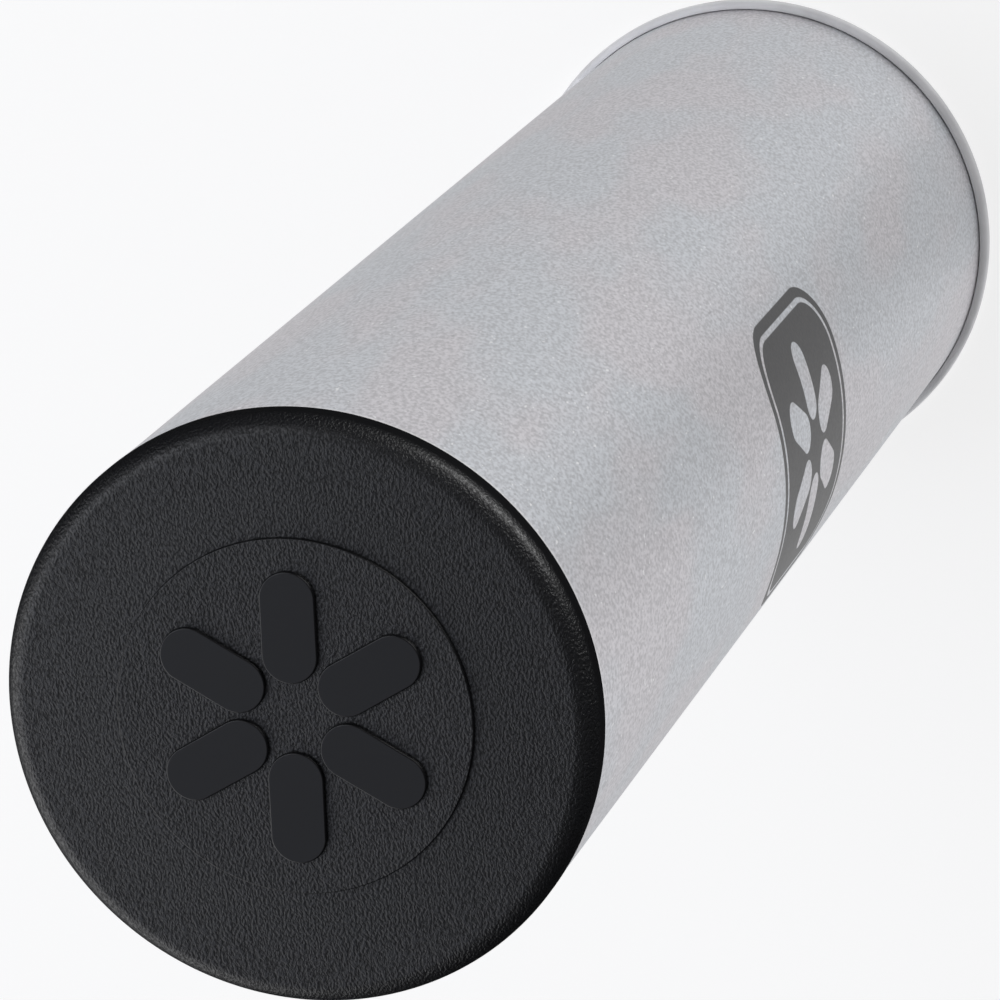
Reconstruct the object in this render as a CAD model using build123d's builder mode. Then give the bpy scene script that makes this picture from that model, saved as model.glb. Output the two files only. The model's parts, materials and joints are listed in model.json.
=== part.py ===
from build123d import *
import os

# A tubular shaker that stands on its metal end, its axis on +Z and its black cap on top.
# The origin is the middle of the ring that it stands on. All sizes are in millimetres.

# Body tube
tube_diameter = 55.0
tube_wall = 0.8
tube_length = 190.8
lip_reach = 0.5
tube_edge_round = 0.2

# End plate, whose edge is rolled around the tube's lip
plate_sheet = 0.5
plate_recess = 3.2
panel_round = 1.2
rim_round = 0.7
hook_round = 0.1
foot_round = 0.4
crimp_gap = 0.05

# End cap
cap_overhang = 0.1
cap_thickness = 3.85
cap_web = 3.15
cap_crown = 0.3
cap_edge_round = 2.1
cap_back_round = 0.2
plug_depth = 12.0
plug_wall = 2.0
plug_gap = 0.05
plug_lead = 0.6
plug_inner_round = 1.0

# Moulded relief on the cap's face
disc_diameter = 33.2
disc_rise = 0.35
disc_round = 0.15
petal_count = 6
petal_length = 10.4
petal_width = 5.2
petal_start = 3.2
petal_rise = 0.4
petal_edge_round = 0.15

# Loose shot
shot_diameter = 3.8
shot_gap = 0.2
shot_wall_gap = 0.3
shot_layers = 3
columns_per_arc = 6

# Radii of the tube and of the plate that fits it
tube_radius = tube_diameter / 2
bore_radius = tube_radius - tube_wall
lip_radius = tube_radius + lip_reach
seat_radius = bore_radius - crimp_gap
recess_radius = seat_radius - plate_sheet
slot_radius = lip_radius + crimp_gap
rim_radius = slot_radius + plate_sheet
hook_radius = tube_radius + crimp_gap

# Heights, counted up from the ring that the shaker stands on
tube_foot = plate_sheet + crimp_gap
lip_top = tube_foot + tube_wall
hook_under = lip_top + crimp_gap
rim_top = hook_under + plate_sheet
tube_top = tube_foot + tube_length
panel_inside = plate_recess + plate_sheet
cap_face = tube_top + cap_thickness
cap_inside = cap_face - cap_web
disc_top = cap_face + disc_rise
plug_foot = tube_top - plug_depth

# Radii of the cap
cap_radius = tube_radius + cap_overhang
plug_radius = bore_radius - plug_gap
plug_inner_radius = plug_radius - plug_wall
disc_radius = disc_diameter / 2

# The shot stands in columns on rings about the axis, with a running gap on every side
shot_radius = shot_diameter / 2
shot_pitch = shot_diameter + shot_gap
shot_floor = panel_inside + shot_gap + shot_radius
shot_rings = int((bore_radius - shot_wall_gap - shot_radius) / shot_pitch)
shot_top = shot_floor + (shot_layers - 1) * shot_pitch + shot_radius
shot_heights = [(0, 0, shot_floor + layer * shot_pitch) for layer in range(shot_layers)]

# Each profile is a list of corners: distance from the axis, height, rounding
tube_corners = [
    (bore_radius, tube_foot, tube_wall),
    (lip_radius, tube_foot, 0),
    (lip_radius, lip_top, 0),
    (tube_radius, lip_top, 0),
    (tube_radius, tube_top, tube_edge_round),
    (bore_radius, tube_top, 0),
]
plate_corners = [
    (0, plate_recess, 0),
    (recess_radius, plate_recess, panel_round - plate_sheet),
    (recess_radius, 0, foot_round),
    (rim_radius, 0, rim_round),
    (rim_radius, rim_top, rim_round),
    (hook_radius, rim_top, hook_round),
    (hook_radius, hook_under, 0),
    (slot_radius, hook_under, 0),
    (slot_radius, plate_sheet, 0),
    (seat_radius, plate_sheet, 0),
    (seat_radius, panel_inside, panel_round),
    (0, panel_inside, 0),
]
cap_corners = [
    (0, cap_inside, 0),
    (plug_inner_radius, cap_inside, plug_inner_round),
    (plug_inner_radius, plug_foot, 0),
    (plug_radius - plug_lead, plug_foot, 0),
    (plug_radius, plug_foot + plug_lead, 0),
    (plug_radius, tube_top, 0),
    (cap_radius, tube_top, cap_back_round),
    (cap_radius, cap_face - cap_crown, cap_edge_round),
    (disc_radius, cap_face, 0),
    (disc_radius, disc_top, disc_round),
    (0, disc_top, 0),
]


def places(corners):
    """Return the corners' distances from the axis and heights."""
    return [(radius, height) for radius, height, _ in corners]


def roundings(corners):
    """Return the corners' roundings."""
    return [rounding for _, _, rounding in corners]


os.makedirs("parts", exist_ok=True)

# Body tube: a thin shell with a lip turned outward at its foot
with BuildPart() as body_tube:
    with BuildSketch(Plane.XZ):
        with BuildLine():
            FilletPolyline(*places(tube_corners), radius=roundings(tube_corners), close=True)
        make_face()
    revolve(axis=Axis.Z)
body_tube.part.label = "body_tube"
export_step(body_tube.part, "parts/body_tube.step")

# End plate: a recessed panel whose edge wraps the lip and makes the proud rim
with BuildPart() as end_plate:
    with BuildSketch(Plane.XZ):
        with BuildLine():
            FilletPolyline(*places(plate_corners), radius=roundings(plate_corners), close=True)
        make_face()
    revolve(axis=Axis.Z)
end_plate.part.label = "end_plate"
export_step(end_plate.part, "parts/end_plate.step")

# End cap: a crowned flange on a plug, with a raised disc and a rosette moulded on its face
with BuildPart() as end_cap:
    with BuildSketch(Plane.XZ):
        with BuildLine():
            FilletPolyline(*places(cap_corners), radius=roundings(cap_corners), close=True)
        make_face()
    revolve(axis=Axis.Z)
    with BuildSketch(Plane.XY.offset(disc_top)):
        with PolarLocations(petal_start + petal_length / 2, petal_count):
            SlotOverall(petal_length, petal_width)
    extrude(amount=petal_rise)
    fillet(end_cap.faces().group_by(Axis.Z)[-1].edges(), radius=petal_edge_round)
end_cap.part.label = "end_cap"
export_step(end_cap.part, "parts/end_cap.step")

# Shot on the axis
with BuildPart() as shot_core:
    with Locations(*shot_heights):
        Sphere(shot_radius)
shot_core.part.label = "shot_core"
export_step(shot_core.part, "parts/shot_core.step")

# Shot around it: each ring has as many arcs as its number, and each arc slides by itself
for ring in range(1, shot_rings + 1):
    arc_angle = 360 / ring
    for arc in range(ring):
        with BuildPart() as shot_arc:
            with Locations(*shot_heights):
                with PolarLocations(
                    ring * shot_pitch, columns_per_arc, start_angle=arc * arc_angle, angular_range=arc_angle
                ):
                    Sphere(shot_radius)
        arc_name = f"shot_ring{ring}_arc{arc + 1}"
        shot_arc.part.label = arc_name
        export_step(shot_arc.part, f"parts/{arc_name}.step")

# How far the shot can slide before it meets the cap, inside the plug and under its edge
print("travel inside the plug", round(cap_inside - shot_gap - shot_top, 3))
print("travel under the plug", round(plug_foot - shot_gap - shot_top, 3))
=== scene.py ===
"""Looks of a tubular shaker: a blasted metal tube, a grained cap, a rolled end plate and loose shot."""

import json
import logging
import math
from abc import ABC, abstractmethod
from collections.abc import Iterator, Mapping, Sequence
from dataclasses import dataclass
from enum import Enum
from typing import ClassVar

import bmesh
import bpy
from mathutils import Matrix, Vector

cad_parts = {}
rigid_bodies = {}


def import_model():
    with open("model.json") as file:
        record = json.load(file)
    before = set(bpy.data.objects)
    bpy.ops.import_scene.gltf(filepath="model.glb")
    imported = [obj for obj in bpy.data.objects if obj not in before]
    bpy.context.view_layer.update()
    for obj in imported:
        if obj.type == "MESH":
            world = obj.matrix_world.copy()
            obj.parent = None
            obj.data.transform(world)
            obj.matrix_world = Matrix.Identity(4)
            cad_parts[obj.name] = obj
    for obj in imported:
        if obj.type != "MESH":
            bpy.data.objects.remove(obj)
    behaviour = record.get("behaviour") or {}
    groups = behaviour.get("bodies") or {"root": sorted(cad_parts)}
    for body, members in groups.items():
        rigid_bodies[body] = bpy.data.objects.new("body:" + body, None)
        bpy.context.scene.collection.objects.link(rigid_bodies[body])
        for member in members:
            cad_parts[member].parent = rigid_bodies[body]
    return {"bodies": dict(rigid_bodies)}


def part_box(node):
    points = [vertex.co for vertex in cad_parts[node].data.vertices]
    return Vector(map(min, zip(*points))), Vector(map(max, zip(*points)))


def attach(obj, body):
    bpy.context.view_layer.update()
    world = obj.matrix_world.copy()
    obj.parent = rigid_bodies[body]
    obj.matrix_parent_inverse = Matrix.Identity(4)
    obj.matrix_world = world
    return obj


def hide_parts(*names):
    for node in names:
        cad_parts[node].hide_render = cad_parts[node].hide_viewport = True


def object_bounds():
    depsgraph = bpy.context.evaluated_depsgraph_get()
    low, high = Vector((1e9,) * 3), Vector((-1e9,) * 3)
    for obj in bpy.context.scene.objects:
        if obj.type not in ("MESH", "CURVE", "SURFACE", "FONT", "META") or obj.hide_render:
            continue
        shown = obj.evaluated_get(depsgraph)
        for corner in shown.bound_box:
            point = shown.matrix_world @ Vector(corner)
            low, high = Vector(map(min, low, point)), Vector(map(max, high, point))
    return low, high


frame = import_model()
cad_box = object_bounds()

AXIS = Vector((0.0, 0.0, 1.0))
CENTRE = Vector((0.0, 0.0, 0.0))
MERGE_DISTANCE = 1e-7
MATCH_DISTANCE = 1e-6
LATHE_STEPS = 240
SHARP_ANGLE = math.radians(35.0)

# Sockets of a Mix node that mixes colours
MIX_FACTOR = 0
MIX_START = 6
MIX_END = 7
MIX_RESULT = 2

Colour = tuple[float, ...]
Span = tuple[float, float]

log = logging.getLogger("shaker")


class Slot(Enum):
    """The record's material slots."""

    TUBE = "tube_metal"
    CAP = "cap_plastic"
    PLATE = "plate_metal"
    SHOT = "shot_steel"


class Value:
    """A socket that takes part in Python arithmetic, which adds Math nodes."""

    def __init__(self, graph: "Graph", socket: bpy.types.NodeSocket) -> None:
        """Keeps the socket and the graph that it belongs to."""
        self.graph = graph
        self.socket = socket

    def __add__(self, other: "Number") -> "Value":
        """Returns self + other."""
        return self.graph.math("ADD", self, other)

    def __radd__(self, other: float) -> "Value":
        """Returns other + self."""
        return self.graph.math("ADD", other, self)

    def __sub__(self, other: "Number") -> "Value":
        """Returns self - other."""
        return self.graph.math("SUBTRACT", self, other)

    def __rsub__(self, other: float) -> "Value":
        """Returns other - self."""
        return self.graph.math("SUBTRACT", other, self)

    def __mul__(self, other: "Number") -> "Value":
        """Returns self * other."""
        return self.graph.math("MULTIPLY", self, other)

    def __rmul__(self, other: float) -> "Value":
        """Returns other * self."""
        return self.graph.math("MULTIPLY", other, self)

    def __neg__(self) -> "Value":
        """Returns the value with its sign changed."""
        return self.graph.math("MULTIPLY", self, -1.0)

    def __abs__(self) -> "Value":
        """Returns the value without its sign."""
        return self.graph.math("ABSOLUTE", self)


Number = Value | float
Input = Value | float | Sequence[float]


class Graph:
    """A node tree that is being wired."""

    def __init__(self, tree: bpy.types.NodeTree) -> None:
        """Empties the tree."""
        self.tree = tree
        tree.nodes.clear()

    def node(
        self,
        kind: str,
        settings: Mapping[str, object] | None = None,
        sockets: Mapping[int | str, Input] | None = None,
        output: int | str = 0,
    ) -> Value:
        """Adds a node.

        Args:
            kind: The node's type, without the ShaderNode that it starts with.
            settings: The node's properties, which are set first.
            sockets: What goes into its inputs, by name or by number.
            output: The output to return, by name or by number.

        Returns:
            The output, or the first input of a node that has no output.
        """
        node = self.tree.nodes.new("ShaderNode" + kind)
        for name, setting in (settings or {}).items():
            setattr(node, name, setting)
        for key, value in (sockets or {}).items():
            if isinstance(value, Value):
                self.tree.links.new(value.socket, node.inputs[key])
            else:
                node.inputs[key].default_value = value
        return Value(self, node.outputs[output] if node.outputs else node.inputs[0])

    def math(self, operation: str, *values: Number) -> Value:
        """Returns a Math node's result."""
        return self.node("Math", {"operation": operation}, dict(enumerate(values)))

    def length(self, x: Value, y: Value) -> Value:
        """Returns the length of a flat vector."""
        return self.math("SQRT", x * x + y * y)

    def clamp(self, value: Value, low: float, high: float) -> Value:
        """Returns a value held between two limits."""
        return self.math("MINIMUM", self.math("MAXIMUM", value, low), high)

    def rise(self, value: Value, low: float, high: float) -> Value:
        """Returns a smooth rise from 0 at low to 1 at high."""
        sockets = {"Value": value, "From Min": low, "From Max": high}
        return self.node("MapRange", {"interpolation_type": "SMOOTHSTEP"}, sockets)

    def spread(self, value: Value, low: float, high: float) -> Value:
        """Returns a value from 0 to 1 stretched over low to high."""
        return value * (high - low) + low

    def place(self) -> Value:
        """Returns the point of the piece in its own frame, in metres."""
        return self.node("TexCoord", output="Object")

    def split(self, vector: Value) -> tuple[Value, Value, Value]:
        """Returns a vector's three components."""
        parts = self.node("SeparateXYZ", sockets={0: vector}).socket.node.outputs
        return Value(self, parts[0]), Value(self, parts[1]), Value(self, parts[2])

    def join(self, x: Number, y: Number, z: Number) -> Value:
        """Returns a vector made of three components."""
        return self.node("CombineXYZ", sockets={0: x, 1: y, 2: z})

    def noise(self, place: Value, size: float, detail: float, roughness: float = 0.5) -> Value:
        """Returns a noise from 0 to 1.

        Args:
            place: The point to read.
            size: How far apart its bumps are, in metres.
            detail: How many finer layers are added.
            roughness: The strength of each finer layer.

        Returns:
            The noise.
        """
        sockets = {"Vector": place, "Scale": 1.0 / size, "Detail": detail, "Roughness": roughness}
        return self.node("TexNoise", sockets=sockets)

    def mix(self, factor: Number, start: Input, end: Input) -> Value:
        """Returns a colour between two colours."""
        sockets = {MIX_FACTOR: factor, MIX_START: start, MIX_END: end}
        return self.node("Mix", {"data_type": "RGBA"}, sockets, output=MIX_RESULT)

    def bump(self, height: Value, depth: float) -> Value:
        """Returns a normal bent by a height from 0 to 1 that stands for a depth in metres."""
        return self.node("Bump", sockets={"Height": height, "Distance": depth, "Strength": 1.0})

    def glow(self, colour: Value) -> Value:
        """Returns a shader that glows in a colour."""
        return self.node("Emission", sockets={"Color": colour, "Strength": 1.0})

    def surface(self, shader: Value) -> None:
        """Ends a material's graph in a shader."""
        self.node("OutputMaterial", sockets={"Surface": shader})


def start_material(name: str) -> tuple[bpy.types.Material, Graph]:
    """Makes a material that has no nodes yet.

    Args:
        name: The material's name.

    Returns:
        The material and its empty graph.
    """
    material = bpy.data.materials.new(name)
    material.use_nodes = True
    return material, Graph(material.node_tree)


def grey(level: float) -> Colour:
    """Returns a neutral colour."""
    return (level, level, level, 1.0)


def toward(azimuth: float, elevation: float) -> Vector:
    """Returns the direction from the shaker to a viewer or a lamp.

    Args:
        azimuth: Angle about the axis in degrees, from a viewer who looks along +Y.
        elevation: Angle above the horizon in degrees.

    Returns:
        The unit direction.
    """
    turned, raised = math.radians(azimuth), math.radians(elevation)
    return Vector(
        (math.sin(turned) * math.cos(raised), -math.cos(turned) * math.cos(raised), math.sin(raised))
    )


class Finish(ABC):
    """A look that is built as a material with one Principled shader.

    Attributes:
        name: The material's name.
    """

    name: ClassVar[str]

    @abstractmethod
    def sockets(self, graph: Graph) -> dict[str, Input]:
        """Returns what goes into the shader."""

    def material(self) -> bpy.types.Material:
        """Builds the finish.

        Returns:
            The new material.
        """
        material, graph = start_material(self.name)
        graph.surface(graph.node("BsdfPrincipled", sockets=self.sockets(graph)))
        return material


@dataclass(frozen=True)
class PrintedMark:
    """A printed badge: a rounded square with a bare keyline and a bare rosette.

    Attributes:
        tube_radius: Radius of the tube that carries it.
        height: Height of its centre.
        petal_near: Distance from the centre to the middle of a petal's inner end.
        petal_far: Distance from the centre to the middle of a petal's outer end.
        blur: Half the width of a soft edge.
    """

    tube_radius: float
    height: float
    half_side: float = 0.0155
    corner: float = 0.0075
    keyline_inset: float = 0.0015
    keyline_width: float = 0.0006
    petal_count: int = 6
    petal_near: float = 0.0050
    petal_far: float = 0.0092
    petal_radius: float = 0.0021
    blur: float = 0.00007

    def inside(self, graph: Graph, distance: Value) -> Value:
        """Returns 1 where a distance is below zero, with a soft edge."""
        return 1.0 - graph.rise(distance, -self.blur, self.blur)

    def square(self, graph: Graph, across: Value, along: Value) -> Value:
        """Measures a point against the rounded square.

        Args:
            graph: The material's graph.
            across: The point's distance from the badge's centre, around the tube.
            along: Its distance from the centre, along the tube.

        Returns:
            The distance from the square's outline, below zero inside it.
        """
        reach = self.half_side - self.corner
        over_x = abs(across) - reach
        over_y = abs(along) - reach
        out_x = graph.math("MAXIMUM", over_x, 0.0)
        out_y = graph.math("MAXIMUM", over_y, 0.0)
        within = graph.math("MINIMUM", graph.math("MAXIMUM", over_x, over_y), 0.0)
        return graph.length(out_x, out_y) + within - self.corner

    def rosette(self, graph: Graph, across: Value, along: Value) -> Value:
        """Measures a point against the nearest petal.

        Args:
            graph: The material's graph.
            across: The point's distance from the badge's centre, around the tube.
            along: Its distance from the centre, along the tube.

        Returns:
            The distance from the petal's outline, below zero inside it.
        """
        sector = math.tau / self.petal_count
        radius = graph.length(across, along)
        angle = graph.math("ARCTAN2", along, across)
        turned = graph.math("FLOORED_MODULO", angle + sector / 2, sector) - sector / 2
        out = radius * graph.math("COSINE", turned)
        side = radius * graph.math("SINE", turned)
        past = out - graph.clamp(out, self.petal_near, self.petal_far)
        return graph.length(past, side) - self.petal_radius

    def ink(self, graph: Graph, place: Value) -> Value:
        """Returns the share of the surface that is printed, from 0 to 1.

        Args:
            graph: The material's graph.
            place: The point of the tube in its own frame.

        Returns:
            The share.
        """
        x, y, z = graph.split(place)
        across = graph.math("ARCTAN2", x, -y) * self.tube_radius
        along = z - self.height
        edge = self.square(graph, across, along)
        keyline = self.inside(graph, abs(edge + self.keyline_inset) - self.keyline_width / 2)
        petals = self.inside(graph, self.rosette(graph, across, along))
        return self.inside(graph, edge) * (1.0 - keyline) * (1.0 - petals)


@dataclass(frozen=True)
class BlastedMetal(Finish):
    """Silver metal with a fine blasted grain, and a badge printed on it.

    Attributes:
        mark: The badge.
        end_height: Height of the tube's open end, whose edge is painted bright, partly as rubbed metal
            and partly as a painted highlight.
        tone_stretch: How much slower the tone changes along the tube than around it.
        grain_stretch: The same for the grain.
        tone_span: Where the tone's noise turns from silver to cool silver.
        pit_span: Where the grain's noise turns from bare metal to a pit.
        spark_span: Where the specks' noise turns bright.
        dark_span: Where the specks' noise stops being dark.
        wear_and_highlight_band: How far down from the open end the metal is painted bright, partly rubbed
            metal and partly a painted highlight.
        ink_wear: Share of the worn ink that shows on the highest grain.
        roughness_swing: How much rougher or smoother the grain makes it.
    """

    name: ClassVar[str] = "blasted_metal"
    mark: PrintedMark
    end_height: float
    silver: Colour = (0.735, 0.715, 0.742, 1.0)
    cool_silver: Colour = (0.705, 0.725, 0.76, 1.0)
    pit: Colour = (0.33, 0.33, 0.335, 1.0)
    spark: Colour = (0.95, 0.95, 0.96, 1.0)
    ink: Colour = (0.035, 0.034, 0.037, 1.0)
    worn_ink: Colour = grey(0.16)
    edge_tint: Colour = (0.67, 0.67, 0.68, 1.0)
    tone_size: float = 0.012
    tone_stretch: float = 0.35
    tone_span: Span = (0.4, 0.6)
    grain_stretch: float = 0.6
    grain_size: float = 0.00036
    grain_depth: float = 0.000024
    pit_span: Span = (0.3, 0.72)
    pit_share: float = 0.4
    spark_size: float = 0.0004
    spark_span: Span = (0.77, 0.85)
    spark_share: float = 0.7
    dark_span: Span = (0.16, 0.24)
    dark_share: float = 0.35
    wear_and_highlight_band: float = 0.0007
    wear_and_highlight_share: float = 0.6
    ink_wear: float = 0.25
    roughness: float = 0.42
    roughness_swing: float = 0.08
    ink_roughness: float = 0.5

    def sockets(self, graph: Graph) -> dict[str, Input]:
        """Wires the tones, the grain, the specks, the bright top edge (rubbed metal and painted
        highlight) and the badge.

        Args:
            graph: The material's graph.

        Returns:
            What goes into the shader.
        """
        place = graph.place()
        x, y, height = graph.split(place)
        streaks = graph.join(x, y, height * self.tone_stretch)
        flecks = graph.join(x, y, height * self.grain_stretch)
        tone = graph.noise(streaks, self.tone_size, detail=2.0)
        grain = graph.noise(flecks, self.grain_size, detail=1.0)
        specks = graph.noise(flecks, self.spark_size, detail=0.0)
        dark = 1.0 - graph.rise(specks, *self.dark_span)
        # Painted highlight: a thin band at the tube's top, under the cap, is painted near white, partly
        # as rubbed bare metal.
        edge = graph.rise(height, self.end_height - self.wear_and_highlight_band, self.end_height)
        bare = graph.mix(graph.rise(tone, *self.tone_span), self.silver, self.cool_silver)
        bare = graph.mix(graph.rise(grain, *self.pit_span) * self.pit_share, bare, self.pit)
        bare = graph.mix(graph.rise(specks, *self.spark_span) * self.spark_share, bare, self.spark)
        bare = graph.mix(dark * self.dark_share, bare, self.pit)
        bare = graph.mix(edge * self.wear_and_highlight_share, bare, self.spark)
        ink = self.mark.ink(graph, place)
        printed = graph.mix(grain * self.ink_wear, self.ink, self.worn_ink)
        low, high = self.roughness - self.roughness_swing, self.roughness + self.roughness_swing
        return {
            "Base Color": graph.mix(ink, bare, printed),
            "Metallic": 1.0 - ink,
            "Roughness": graph.spread(grain, low, high) + ink * (self.ink_roughness - self.roughness),
            "Specular Tint": self.edge_tint,
            "Normal": graph.bump(grain, self.grain_depth),
        }


@dataclass(frozen=True)
class GrainedPlastic(Finish):
    """Black moulded plastic with a leather-like grain and a smooth relief.

    Attributes:
        relief_foot: Height where the smooth relief starts, which is the disc's top.
        relief_top: Height of the smooth relief's top.
        disc_foot: Height of the face where the disc's smooth edge starts.
        wall_top: Height where the smooth side wall ends and the rounded edge starts.
        grain_azimuth: The way that the grain lies, in degrees.
        grain_stretch: How much slower the grain changes along its lay than across it.
        grain_start: Height of the rounded edge over which the grain sets in.
        ridge_span: Where the grain's noise turns from a pit to a ridge.
        edge_blur: Height over which the disc's edge turns smooth.
        fine_height: Height of the fine grain, as a share of the ridges.
        fine_roughness: How much rougher the fine grain makes it.
        ridge_polish: Weight of the clear coat on a ridge.
        smooth_polish: Weight of the clear coat on the relief and the wall.
    """

    name: ClassVar[str] = "grained_plastic"
    relief_foot: float
    relief_top: float
    disc_foot: float
    wall_top: float
    black: Colour = (0.0042, 0.0043, 0.005, 1.0)
    worn: Colour = (0.007, 0.0072, 0.0085, 1.0)
    grain_size: float = 0.00024
    grain_depth: float = 0.00007
    grain_azimuth: float = 94.0
    grain_stretch: float = 0.7
    grain_start: float = 0.0008
    ridge_span: Span = (0.2, 0.75)
    edge_blur: float = 0.00001
    fine_size: float = 0.00012
    fine_height: float = 0.15
    fine_roughness: float = 0.06
    roughness: float = 0.31
    pit_roughness: float = 0.55
    smooth_roughness: float = 0.32
    gloss: float = 0.27
    ridge_polish: float = 0.4
    smooth_polish: float = 0.1
    polish_roughness: float = 0.3

    def smooth(self, graph: Graph, height: Value) -> Value:
        """Finds where the plastic has no grain.

        Args:
            graph: The material's graph.
            height: The point's height.

        Returns:
            1 on the relief, on the side wall and on the disc's edge, and 0 on the grain.
        """
        blur = self.edge_blur
        relief = graph.rise(height, self.relief_foot, (self.relief_foot + self.relief_top) / 2)
        wall = 1.0 - graph.rise(height, self.wall_top, self.wall_top + self.grain_start)
        off_face = graph.rise(height, self.disc_foot, self.disc_foot + blur)
        on_top = graph.rise(height, self.relief_foot - 2 * blur, self.relief_foot - blur)
        disc_edge = off_face * (1.0 - on_top)
        return graph.math("MAXIMUM", graph.math("MAXIMUM", relief, wall), disc_edge)

    def sockets(self, graph: Graph) -> dict[str, Input]:
        """Wires the grain and the smooth places.

        Args:
            graph: The material's graph.

        Returns:
            What goes into the shader.
        """
        x, y, height = graph.split(graph.place())
        lay = toward(self.grain_azimuth, 0.0)
        along = (x * lay.x + y * lay.y) * self.grain_stretch
        across = y * lay.x - x * lay.y
        laid = graph.join(along, across, height)
        ridge = graph.rise(graph.noise(laid, self.grain_size, detail=1.0), *self.ridge_span)
        fine = graph.noise(laid, self.fine_size, detail=1.0)
        smooth = self.smooth(graph, height)
        grained = 1.0 - smooth
        colour = graph.mix(ridge, self.black, self.worn)
        rough = graph.spread(ridge, self.pit_roughness, self.roughness) + fine * self.fine_roughness
        return {
            "Base Color": graph.mix(smooth, colour, self.black),
            "Roughness": rough * grained + smooth * self.smooth_roughness,
            "Specular IOR Level": self.gloss,
            "Coat Weight": ridge * self.ridge_polish * grained + smooth * self.smooth_polish,
            "Coat Roughness": self.polish_roughness,
            "Normal": graph.bump((ridge + fine * self.fine_height) * grained, self.grain_depth),
        }


@dataclass(frozen=True)
class RolledMetal(Finish):
    """Pressed sheet metal with faint turning lines about its axis.

    Attributes:
        tone_span: Where the tone's noise turns from silver to dull.
        roughness_swing: How much rougher or smoother the lines make it.
    """

    name: ClassVar[str] = "rolled_metal"
    silver: Colour = (0.74, 0.74, 0.755, 1.0)
    dull: Colour = (0.66, 0.66, 0.675, 1.0)
    tone_size: float = 0.006
    tone_span: Span = (0.35, 0.7)
    line_size: float = 0.0004
    line_depth: float = 0.000004
    roughness: float = 0.8
    roughness_swing: float = 0.08

    def sockets(self, graph: Graph) -> dict[str, Input]:
        """Wires the tone and the lines.

        Args:
            graph: The material's graph.

        Returns:
            What goes into the shader.
        """
        place = graph.place()
        x, y, z = graph.split(place)
        ring = graph.join(graph.length(x, y), 0.0, z)
        lines = graph.noise(ring, self.line_size, detail=3.0, roughness=0.6)
        tone = graph.noise(place, self.tone_size, detail=3.0)
        low, high = self.roughness - self.roughness_swing, self.roughness + self.roughness_swing
        return {
            "Base Color": graph.mix(graph.rise(tone, *self.tone_span), self.silver, self.dull),
            "Metallic": 1.0,
            "Roughness": graph.spread(lines, low, high),
            "Normal": graph.bump(lines, self.line_depth),
        }


@dataclass(frozen=True)
class TumbledSteel(Finish):
    """Bright steel shot, scuffed by shaking.

    Attributes:
        scuff_span: Where the scuffs' noise turns from bright to scuffed.
    """

    name: ClassVar[str] = "tumbled_steel"
    steel: Colour = (0.56, 0.565, 0.58, 1.0)
    scuff: Colour = (0.36, 0.36, 0.37, 1.0)
    scuff_size: float = 0.0009
    scuff_depth: float = 0.00001
    scuff_span: Span = (0.52, 0.68)
    roughness: float = 0.22
    scuff_roughness: float = 0.47

    def sockets(self, graph: Graph) -> dict[str, Input]:
        """Wires the scuffs.

        Args:
            graph: The material's graph.

        Returns:
            What goes into the shader.
        """
        scuffs = graph.noise(graph.place(), self.scuff_size, detail=4.0, roughness=0.65)
        worn = graph.rise(scuffs, *self.scuff_span)
        return {
            "Base Color": graph.mix(worn, self.steel, self.scuff),
            "Metallic": 1.0,
            "Roughness": graph.spread(worn, self.roughness, self.scuff_roughness),
            "Normal": graph.bump(scuffs, self.scuff_depth),
        }


@dataclass(frozen=True)
class Corner:
    """A corner of a turned outline.

    Attributes:
        radius: Its distance from the axis.
        height: Its height.
        rounding: The radius that rounds it.
        segments: How many faces the rounding has.
    """

    radius: float
    height: float
    rounding: float = 0.0
    segments: int = 6

    def holds(self, edge: bmesh.types.BMEdge) -> bool:
        """Tells whether an edge lies on the ring that this corner turns.

        Args:
            edge: An edge of the turned shape.

        Returns:
            Whether it does.
        """
        return all(
            abs(math.hypot(vert.co.x, vert.co.y) - self.radius) < MATCH_DISTANCE
            and abs(vert.co.z - self.height) < MATCH_DISTANCE
            for vert in edge.verts
        )


def turn(corners: Sequence[Corner]) -> bmesh.types.BMesh:
    """Turns an outline about the axis and rounds its corners.

    Args:
        corners: The outline, which closes itself unless it starts and ends on the axis.

    Returns:
        The turned shape.
    """
    shape = bmesh.new()
    points = [shape.verts.new((corner.radius, 0.0, corner.height)) for corner in corners]
    pairs = list(zip(points, points[1:]))
    if corners[0].radius or corners[-1].radius:
        pairs.append((points[-1], points[0]))
    edges = [shape.edges.new(pair) for pair in pairs]
    bmesh.ops.spin(
        shape,
        geom=points + edges,
        cent=CENTRE,
        axis=AXIS,
        angle=math.tau,
        steps=LATHE_STEPS,
        use_merge=True,
    )
    bmesh.ops.remove_doubles(shape, verts=shape.verts, dist=MERGE_DISTANCE)
    bmesh.ops.recalc_face_normals(shape, faces=shape.faces)
    for corner in corners:
        if corner.rounding:
            round_edges(shape, filter(corner.holds, shape.edges), corner.rounding, corner.segments)
    return shape


def round_edges(
    shape: bmesh.types.BMesh, edges: Iterator[bmesh.types.BMEdge], rounding: float, segments: int
) -> None:
    """Rounds some of a shape's edges.

    Args:
        shape: The shape.
        edges: The edges to round.
        rounding: The radius that rounds them.
        segments: How many faces the rounding has.
    """
    bmesh.ops.bevel(
        shape,
        geom=list(edges),
        offset=rounding,
        offset_type="OFFSET",
        segments=segments,
        profile=0.5,
        affect="EDGES",
        material=-1,
    )


def lift(shape: bmesh.types.BMesh, extruded: Sequence[object], rise: float) -> None:
    """Moves what an extrusion has made up along the axis.

    Args:
        shape: The shape.
        extruded: The points, edges and faces that the extrusion made.
        rise: How far to move them.
    """
    points = [item for item in extruded if isinstance(item, bmesh.types.BMVert)]
    bmesh.ops.translate(shape, verts=points, vec=AXIS * rise)


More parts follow.
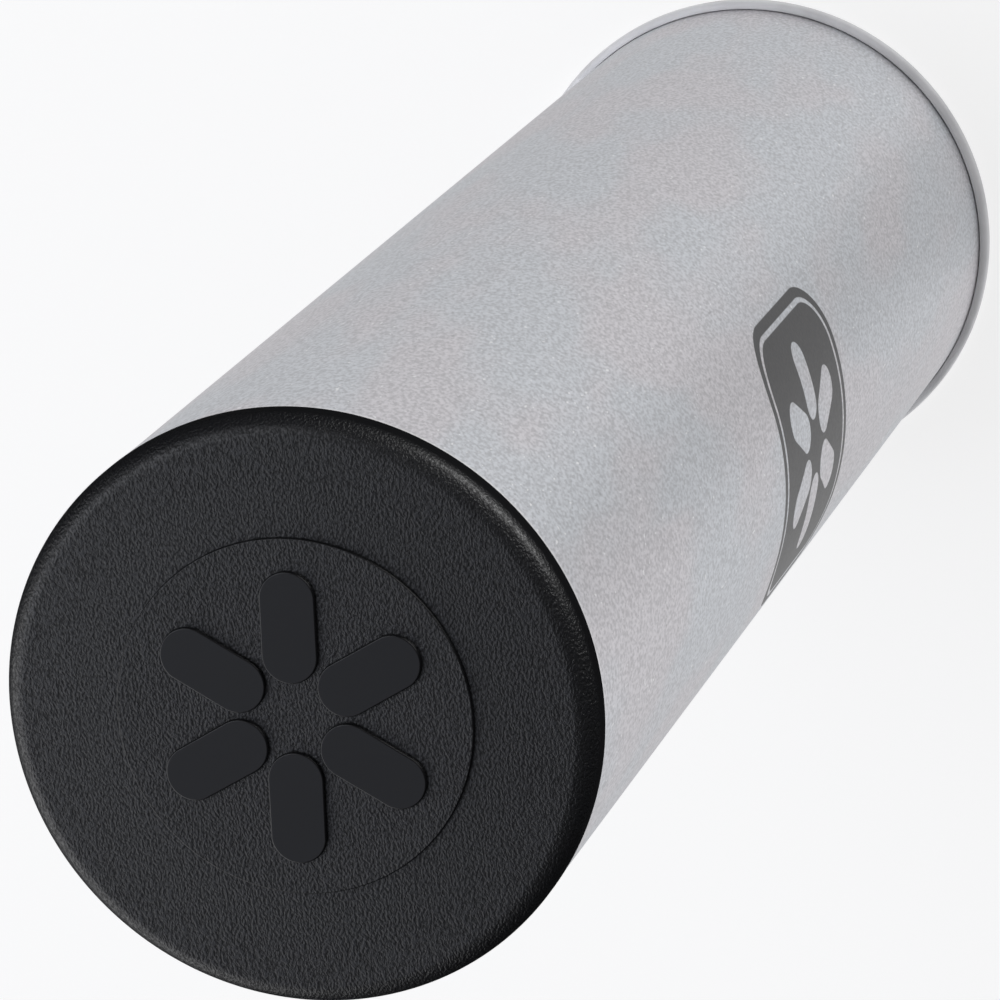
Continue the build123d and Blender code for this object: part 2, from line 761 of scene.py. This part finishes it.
def new_object(name: str, shape: bmesh.types.BMesh) -> bpy.types.Object:
    """Makes an object with a shape as its smooth-shaded mesh, and frees the shape.

    Args:
        name: The object's name.
        shape: The shape.

    Returns:
        The object.
    """
    mesh = bpy.data.meshes.new(name)
    shape.to_mesh(mesh)
    shape.free()
    mesh.shade_smooth()
    mesh.set_sharp_from_angle(angle=SHARP_ANGLE)
    thing = bpy.data.objects.new(name, mesh)
    bpy.context.scene.collection.objects.link(thing)
    return thing


def even_shading(thing: bpy.types.Object) -> None:
    """Lets the large faces of a piece set the shading at their edges."""
    modifier = thing.modifiers.new("even_shading", "WEIGHTED_NORMAL")
    modifier.keep_sharp = True


def settle(
    thing: bpy.types.Object, material: bpy.types.Material, body: str, node: str
) -> bpy.types.Object:
    """Dresses a piece and gives it its place in the frame.

    Args:
        thing: The piece.
        material: Its finish.
        body: The body that it rides on.
        node: The solid that it stands for.

    Returns:
        The piece.
    """
    thing.data.materials.clear()
    thing.data.materials.append(material)
    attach(thing, body)
    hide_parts(node)
    log.info("%s: %d faces on %s", thing.name, len(thing.data.polygons), body)
    return thing


@dataclass
class BodyTube:
    """The thin tube, with a lip turned outward at its foot."""

    radius: float = 0.0275
    wall: float = 0.0008
    edge_round: float = 0.0002
    node: str = "body_tube"

    def corners(self) -> list[Corner]:
        """Draws the tube's outline.

        Returns:
            Its corners in order.
        """
        low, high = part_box(self.node)
        bore = self.radius - self.wall
        return [
            Corner(bore, low.z, self.wall),
            Corner(high.x, low.z),
            Corner(high.x, low.z + self.wall),
            Corner(self.radius, low.z + self.wall),
            Corner(self.radius, high.z, self.edge_round),
            Corner(bore, high.z),
        ]

    def mark(self) -> PrintedMark:
        """Returns the badge, halfway up the whole shaker."""
        low, high = cad_box
        return PrintedMark(tube_radius=self.radius, height=(low.z + high.z) / 2)

    def build(self) -> bpy.types.Object:
        """Turns the tube and dresses it.

        Returns:
            The finished tube.
        """
        tube = new_object("tube", turn(self.corners()))
        even_shading(tube)
        finish = BlastedMetal(mark=self.mark(), end_height=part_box(self.node)[1].z)
        return settle(tube, finish.material(), "shell", self.node)


@dataclass
class EndPlate:
    """The pressed plate that closes the foot, its edge rolled around the tube's lip.

    Attributes:
        sheet: Thickness of the sheet that it is pressed from.
        recess: How far its panel stands above the ring that the shaker stands on.
        recess_radius: Radius of the hollow under the panel.
        rim_height: Height of the rolled edge.
        hook_radius: Radius of the rolled edge's inner lip.
    """

    sheet: float = 0.0005
    recess: float = 0.0032
    recess_radius: float = 0.02615
    panel_round: float = 0.0012
    rim_round: float = 0.0007
    hook_round: float = 0.0001
    foot_round: float = 0.0004
    rim_height: float = 0.0019
    hook_radius: float = 0.02755
    node: str = "end_plate"

    def corners(self) -> list[Corner]:
        """Draws the plate's outline.

        Returns:
            Its corners in order.
        """
        low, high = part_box(self.node)
        slot_radius = high.x - self.sheet
        seat_radius = self.recess_radius + self.sheet
        hook_under = self.rim_height - self.sheet
        return [
            Corner(0.0, self.recess),
            Corner(self.recess_radius, self.recess, self.panel_round - self.sheet),
            Corner(self.recess_radius, low.z, self.foot_round),
            Corner(high.x, low.z, self.rim_round),
            Corner(high.x, self.rim_height, self.rim_round),
            Corner(self.hook_radius, self.rim_height, self.hook_round),
            Corner(self.hook_radius, hook_under),
            Corner(slot_radius, hook_under),
            Corner(slot_radius, self.sheet),
            Corner(seat_radius, self.sheet),
            Corner(seat_radius, high.z, self.panel_round),
            Corner(0.0, high.z),
        ]

    def build(self) -> bpy.types.Object:
        """Turns the plate and dresses it.

        Returns:
            The finished plate.
        """
        plate = new_object("rolled_plate", turn(self.corners()))
        even_shading(plate)
        return settle(plate, RolledMetal().material(), "shell", self.node)


@dataclass
class EndCap:
    """The moulded cap: a flange on a plug, with a raised disc and a rosette on its face.

    Attributes:
        web: Thickness of the face over the hollow plug.
        thickness: Height of the flange.
        crown: How far the face falls from the disc to the edge.
        plug_lead: Size of the plug's slanted leading edge.
        petal_start: Distance from the axis to a petal's inner end.
        petal_root: How far the petals reach down into the disc.
    """

    web: float = 0.00315
    thickness: float = 0.00385
    crown: float = 0.0003
    edge_round: float = 0.0021
    edge_segments: int = 14
    back_round: float = 0.0002
    plug_radius: float = 0.02665
    plug_wall: float = 0.002
    plug_lead: float = 0.0006
    plug_inner_round: float = 0.001
    disc_radius: float = 0.0166
    disc_rise: float = 0.00035
    disc_round: float = 0.00015
    petal_count: int = 6
    petal_length: float = 0.0104
    petal_width: float = 0.0052
    petal_start: float = 0.0032
    petal_rise: float = 0.0004
    petal_round: float = 0.00015
    petal_root: float = 0.0005
    petal_segments: int = 48
    relief_segments: int = 4
    node: str = "end_cap"

    def face_height(self) -> float:
        """Returns the height of the cap's face, where the disc stands on it."""
        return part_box(self.node)[1].z - self.petal_rise - self.disc_rise

    def corners(self) -> list[Corner]:
        """Draws the cap's outline, without the rosette.

        Returns:
            Its corners in order.
        """
        low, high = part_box(self.node)
        face = self.face_height()
        inner_radius = self.plug_radius - self.plug_wall
        return [
            Corner(0.0, face - self.web),
            Corner(inner_radius, face - self.web, self.plug_inner_round),
            Corner(inner_radius, low.z),
            Corner(self.plug_radius - self.plug_lead, low.z),
            Corner(self.plug_radius, low.z + self.plug_lead),
            Corner(self.plug_radius, face - self.thickness),
            Corner(high.x, face - self.thickness, self.back_round),
            Corner(high.x, face - self.crown, self.edge_round, self.edge_segments),
            Corner(self.disc_radius, face),
            Corner(self.disc_radius, face + self.disc_rise, self.disc_round, self.relief_segments),
            Corner(0.0, face + self.disc_rise),
        ]

    def rosette(self) -> bmesh.types.BMesh:
        """Builds the ring of petals, rooted a little below the disc's top.

        Returns:
            The petals.
        """
        shape = bmesh.new()
        end_radius = self.petal_width / 2
        disc_top = self.face_height() + self.disc_rise
        foot = disc_top - self.petal_root
        bmesh.ops.create_circle(shape, cap_ends=True, segments=self.petal_segments, radius=end_radius)
        shift = Vector((self.petal_length - self.petal_width, 0.0, 0.0))
        far = [vert for vert in shape.verts if vert.co.x > MATCH_DISTANCE]
        bmesh.ops.translate(shape, verts=far, vec=shift)
        bmesh.ops.translate(shape, verts=shape.verts, vec=(self.petal_start + end_radius, 0.0, foot))
        raised = bmesh.ops.extrude_face_region(shape, geom=list(shape.faces))["geom"]
        lift(shape, raised, self.petal_root + self.petal_rise)
        bmesh.ops.recalc_face_normals(shape, faces=shape.faces)
        rim = (edge for edge in shape.edges if all(vert.co.z > disc_top for vert in edge.verts))
        round_edges(shape, rim, self.petal_round, self.relief_segments)
        bmesh.ops.spin(
            shape,
            geom=shape.verts[:] + shape.edges[:] + shape.faces[:],
            cent=CENTRE,
            axis=AXIS,
            angle=math.tau,
            steps=self.petal_count,
            use_duplicate=True,
        )
        bmesh.ops.remove_doubles(shape, verts=shape.verts, dist=MERGE_DISTANCE)
        return shape

    def moulding(self) -> bpy.types.Object:
        """Joins the turned cap and the rosette.

        Returns:
            The bare cap.
        """
        cap = new_object("cap", turn(self.corners()))
        relief = new_object("cap_relief", self.rosette())
        union = cap.modifiers.new("relief", "BOOLEAN")
        union.operation = "UNION"
        union.solver = "EXACT"
        union.object = relief
        depsgraph = bpy.context.evaluated_depsgraph_get()
        joined = bpy.data.meshes.new_from_object(cap.evaluated_get(depsgraph))
        cap.modifiers.clear()
        cap.data = joined
        joined.name = cap.name
        joined.set_sharp_from_angle(angle=SHARP_ANGLE)
        bpy.data.objects.remove(relief)
        return cap

    def build(self) -> bpy.types.Object:
        """Moulds the cap and dresses it.

        Returns:
            The finished cap.
        """
        cap = self.moulding()
        even_shading(cap)
        face = self.face_height()
        finish = GrainedPlastic(
            relief_foot=face + self.disc_rise,
            relief_top=face + self.disc_rise + self.petal_rise,
            disc_foot=face,
            wall_top=face - self.crown - self.edge_round,
        )
        return settle(cap, finish.material(), "shell", self.node)


@dataclass
class ShotBed:
    """The loose shot: columns of balls on rings about the axis, in arcs that slide by themselves.

    Attributes:
        gap: The running gap between neighbouring balls.
        layers: How many balls a column has.
        columns: How many columns an arc has.
        core: The node of the column on the axis.
        ring: What the nodes of the arcs start with.
    """

    radius: float = 0.0019
    gap: float = 0.0002
    layers: int = 3
    columns: int = 6
    subdivisions: int = 2
    core: str = "shot_core"
    ring: str = "shot_ring"

    def pitch(self) -> float:
        """Returns the distance between the centres of neighbouring balls."""
        return 2 * self.radius + self.gap

    def heights(self) -> list[float]:
        """Returns the heights of the balls' centres."""
        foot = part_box(self.core)[0].z + self.radius
        return [foot + layer * self.pitch() for layer in range(self.layers)]

    def balls(self, name: str, spots: Sequence[tuple[float, float]]) -> bpy.types.Object:
        """Makes a piece with a ball at each layer of each column.

        Args:
            name: The piece's name.
            spots: Each column's distance from the axis and angle about it.

        Returns:
            The piece.
        """
        shape = bmesh.new()
        for reach, angle in spots:
            for height in self.heights():
                place = Vector((reach * math.cos(angle), reach * math.sin(angle), height))
                matrix = Matrix.Translation(place) @ Matrix.Rotation(angle, 4, AXIS)
                bmesh.ops.create_icosphere(
                    shape, subdivisions=self.subdivisions, radius=self.radius, matrix=matrix
                )
        return new_object(name, shape)

    def groups(self) -> dict[str, list[tuple[float, float]]]:
        """Lays out the columns.

        Returns:
            Each node's columns, as distances from the axis and angles about it.
        """
        groups = {self.core: [(0.0, 0.0)]}
        arcs = [name for name in frame["bodies"] if name.startswith(self.ring)]
        rings = max(int(name.removeprefix(self.ring).split("_")[0]) for name in arcs)
        for ring in range(1, rings + 1):
            step = math.tau / ring / self.columns
            for arc in range(ring):
                columns = range(arc * self.columns, (arc + 1) * self.columns)
                spots = [(ring * self.pitch(), column * step) for column in columns]
                groups[f"{self.ring}{ring}_arc{arc + 1}"] = spots
        return groups

    def build(self) -> list[bpy.types.Object]:
        """Makes the groups of shot and dresses them.

        Returns:
            The finished groups.
        """
        finish = TumbledSteel().material()
        return [
            settle(self.balls(node.replace("shot", "balls"), spots), finish, node, node)
            for node, spots in self.groups().items()
        ]


def spare(source: bpy.types.Object, *pieces: bpy.types.Object) -> None:
    """Keeps the light of a lamp or of a glowing surface off some pieces.

    Args:
        source: The lamp or the glowing surface.
        pieces: The pieces that it doesn't light.
    """
    receivers = bpy.data.collections.new(f"{source.name}_receivers")
    for piece in pieces:
        receivers.objects.link(piece)
    for receiver in receivers.collection_objects:
        receiver.light_linking.link_state = "EXCLUDE"
    source.light_linking.receiver_collection = receivers


@dataclass(frozen=True)
class Softbox:
    """A soft rectangular lamp.

    Attributes:
        azimuth: Where it hangs about the shaker's axis, in degrees.
        elevation: Where it hangs above the horizon, in degrees.
        distance: How far it hangs from what it points at.
    """

    name: str
    azimuth: float
    elevation: float
    distance: float
    width: float
    height: float
    watts: float
    colour: Colour = (1.0, 1.0, 1.0)

    def build(self, target: Vector) -> bpy.types.Object:
        """Hangs the lamp.

        Args:
            target: The point that it points at.

        Returns:
            The lamp, which the camera doesn't see.
        """
        lamp = bpy.data.lights.new(self.name, "AREA")
        lamp.color = self.colour
        lamp.shape = "RECTANGLE"
        lamp.size = self.width
        lamp.size_y = self.height
        lamp.energy = self.watts
        hung = bpy.data.objects.new(self.name, lamp)
        aim = toward(self.azimuth, self.elevation)
        hung.matrix_world = Matrix.Translation(target + aim * self.distance) @ (
            aim.to_track_quat("Z", "Y").to_matrix().to_4x4()
        )
        hung.visible_camera = False
        bpy.context.scene.collection.objects.link(hung)
        log.info("lamp %s: %.1f W", self.name, self.watts)
        return hung


@dataclass(frozen=True)
class FloorShade:
    """A soft wedge of shade on the floor, which spreads away from the shaker.

    Attributes:
        azimuth: Where it points, in degrees.
        spread: Angle between its middle and its edge, in degrees.
        depth: Share of the light that it takes away in the middle.
    """

    azimuth: float
    spread: float
    depth: float

    def cover(self, graph: Graph, x: Value, y: Value) -> Value:
        """Finds the shade at a point of the floor.

        Args:
            graph: The floor's graph.
            x: The point's first coordinate.
            y: Its second coordinate.

        Returns:
            The share of the light that is taken away.
        """
        middle = toward(self.azimuth, 0.0)
        along = graph.math("DIVIDE", x * middle.x + y * middle.y, graph.length(x, y))
        return graph.rise(along, math.cos(math.radians(self.spread)), 1.0) * self.depth


@dataclass
class Studio:
    """The pale floor, the backdrop, the lamps, the world and the camera.

    Attributes:
        floor_drop: How far the floor lies below the shaker's foot.
        floor_grey: Colour of the floor as paper that takes shadows.
        floor_tone: Brightness of the floor's own glow.
        floor_glow: Share of the glow in what the camera sees near the shaker.
        fade_start: Distance from the shaker where that share starts to rise to 1.
        fade_end: Distance from the shaker where it is 1.
        mirrored_glow: Share of the glow in what the metal mirrors.
        floor_shades: Shades in what the metal mirrors.
        ambient: Brightness of the world and of the backdrop as lights.
        ceiling: Brightness of the world in what the metal mirrors.
        target: The point that the lamps point at.
    """

    floor_side: float = 12.0
    floor_drop: float = 0.0002
    floor_grey: float = 0.82
    floor_tone: float = 1.13
    floor_glow: float = 0.65
    fade_start: float = 0.4
    fade_end: float = 1.6
    mirrored_glow: float = 0.97
    floor_shades: tuple[FloorShade, ...] = (
        FloorShade(azimuth=14.0, spread=27.0, depth=0.22),
        FloorShade(azimuth=110.0, spread=90.0, depth=0.1),
        FloorShade(azimuth=240.0, spread=45.0, depth=0.3),
    )
    ambient: float = 0.45
    ceiling: float = 0.06
    backdrop_radius: float = 5.0
    backdrop_height: float = 1.8
    backdrop_sides: int = 64
    camera_azimuth: float = 46.0
    camera_elevation: float = 68.63
    camera_roll: float = -136.36
    camera_place: tuple[float, float, float] = (0.154229, -0.148842, 0.670023)
    lens: float = 210.13
    sensor: float = 36.0
    target: tuple[float, float, float] = (0.0, 0.0, 0.15)
    side: Softbox = Softbox(
        "side_lamp",
        azimuth=154.0,
        elevation=55.0,
        distance=0.9,
        width=0.95,
        height=0.4,
        watts=3.0,
        colour=(0.92, 0.94, 1.0),
    )
    front: Softbox = Softbox(
        "front_lamp", azimuth=46.0, elevation=0.0, distance=0.7, width=0.5, height=0.27, watts=4.2
    )
    edge: Softbox = Softbox(
        "edge_lamp", azimuth=216.0, elevation=16.0, distance=0.9, width=1.2, height=0.7, watts=6.4
    )
    panel: Softbox = Softbox(
        "ceiling_panel",
        azimuth=206.0,
        elevation=55.0,
        distance=1.2,
        width=1.2,
        height=1.1,
        watts=2.8,
        colour=(0.82, 0.86, 1.0),
    )
    rim: Softbox = Softbox(
        "rim_lamp", azimuth=60.0, elevation=78.0, distance=1.0, width=0.5, height=0.5, watts=4.5
    )

    def rays(self, graph: Graph) -> tuple[Value, Value]:
        """Tells how a surface is looked at.

        Args:
            graph: The surface's graph.

        Returns:
            1 for the rays that come from the camera, and 1 for those that are mirrored or pass glass.
        """
        path = graph.node("LightPath").socket.node.outputs
        camera, glossy, through = (
            Value(graph, path[f"Is {kind} Ray"]) for kind in ("Camera", "Glossy", "Transmission")
        )
        return camera, graph.math("MINIMUM", glossy + through, 1.0)

    def floor_shade(self, graph: Graph, x: Value, y: Value) -> Value:
        """Returns how much the floor's glow is dimmed at a point, from 0 to 1."""
        covers = [shade.cover(graph, x, y) for shade in self.floor_shades]
        return sum(covers[1:], covers[0])

    def floor(self) -> bpy.types.Object:
        """Lays the floor, white to the eye and with the shaker's shadow on it.

        Returns:
            The floor.
        """
        shape = bmesh.new()
        bmesh.ops.create_grid(shape, x_segments=1, y_segments=1, size=self.floor_side / 2)
        bmesh.ops.translate(shape, verts=shape.verts, vec=AXIS * -self.floor_drop)
        floor = new_object("floor", shape)
        material, graph = start_material("floor_paper")
        x, y, _ = graph.split(graph.place())
        camera, mirrored = self.rays(graph)
        paper = graph.node("BsdfDiffuse", sockets={"Color": grey(self.floor_grey)})
        shade = mirrored * self.floor_shade(graph, x, y)
        glow = graph.glow(graph.mix(shade, grey(self.floor_tone), grey(0.0)))
        far = graph.rise(graph.length(x, y), self.fade_start, self.fade_end)
        share = camera * graph.spread(far, self.floor_glow, 1.0) + mirrored * self.mirrored_glow
        graph.surface(graph.node("MixShader", sockets={0: share, 1: paper, 2: glow}))
        floor.data.materials.append(material)
        return floor

    def backdrop(self) -> bpy.types.Object:
        """Hangs a white paper all round, which the metal mirrors.

        Returns:
            The paper.
        """
        shape = bmesh.new()
        bmesh.ops.create_circle(shape, segments=self.backdrop_sides, radius=self.backdrop_radius)
        raised = bmesh.ops.extrude_edge_only(shape, edges=list(shape.edges))["geom"]
        lift(shape, raised, self.backdrop_height)
        backdrop = new_object("backdrop", shape)
        material, graph = start_material("backdrop_paper")
        camera, mirrored = self.rays(graph)
        tone = graph.mix(camera + mirrored, grey(self.ambient), grey(1.0))
        graph.surface(graph.glow(tone))
        backdrop.data.materials.append(material)
        return backdrop

    def world(self) -> None:
        """Sets the world: white to the eye, mirrored as a dim ceiling, soft as a light."""
        world = bpy.data.worlds.new("studio")
        world.use_nodes = True
        bpy.context.scene.world = world
        graph = Graph(world.node_tree)
        camera, mirrored = self.rays(graph)
        strength = camera * (1.0 - self.ambient) + mirrored * (self.ceiling - self.ambient) + self.ambient
        light = graph.node("Background", sockets={"Color": grey(1.0), "Strength": strength})
        graph.node("OutputWorld", sockets={"Surface": light})

    def camera(self) -> None:
        """Sets up the camera, which is turned about the line that it looks along by its roll."""
        camera = bpy.data.cameras.new("camera")
        camera.lens = self.lens
        camera.sensor_width = self.sensor
        stand = bpy.data.objects.new("camera", camera)
        back = toward(self.camera_azimuth, self.camera_elevation)
        level = AXIS.cross(back).normalized()
        upright = back.cross(level)
        roll = math.radians(self.camera_roll)
        right = level * math.cos(roll) + upright * math.sin(roll)
        axes = Matrix((right, back.cross(right), back)).transposed().to_4x4()
        stand.matrix_world = Matrix.Translation(self.camera_place) @ axes
        bpy.context.scene.collection.objects.link(stand)
        bpy.context.scene.camera = stand

    def build(self, cap: bpy.types.Object, tube: bpy.types.Object, plate: bpy.types.Object) -> None:
        """Sets up the whole studio.

        Args:
            cap: The black cap, which mirrors neither the floor's glow nor the backdrop.
            tube: The tube, which only the side lamp, the floor, the backdrop and the world light.
            plate: The end plate, whose rim has a lamp of its own.
        """
        bpy.context.scene.view_settings.view_transform = "Standard"
        target = Vector(self.target)
        self.camera()
        self.world()
        floor = self.floor()
        self.side.build(target)
        spare(self.front.build(target), tube, plate, floor)
        spare(self.edge.build(target), tube, floor)
        spare(self.panel.build(target), tube)
        spare(self.rim.build(target), tube, cap, floor)
        spare(floor, cap)
        spare(self.backdrop(), cap)


def main() -> None:
    """Builds the shaker and its studio."""
    logging.basicConfig(level=logging.INFO, format="%(name)s: %(message)s")
    tube = BodyTube().build()
    plate = EndPlate().build()
    cap = EndCap().build()
    ShotBed().build()
    Studio().build(cap, tube, plate)


if __name__ == "__main__":
    main()
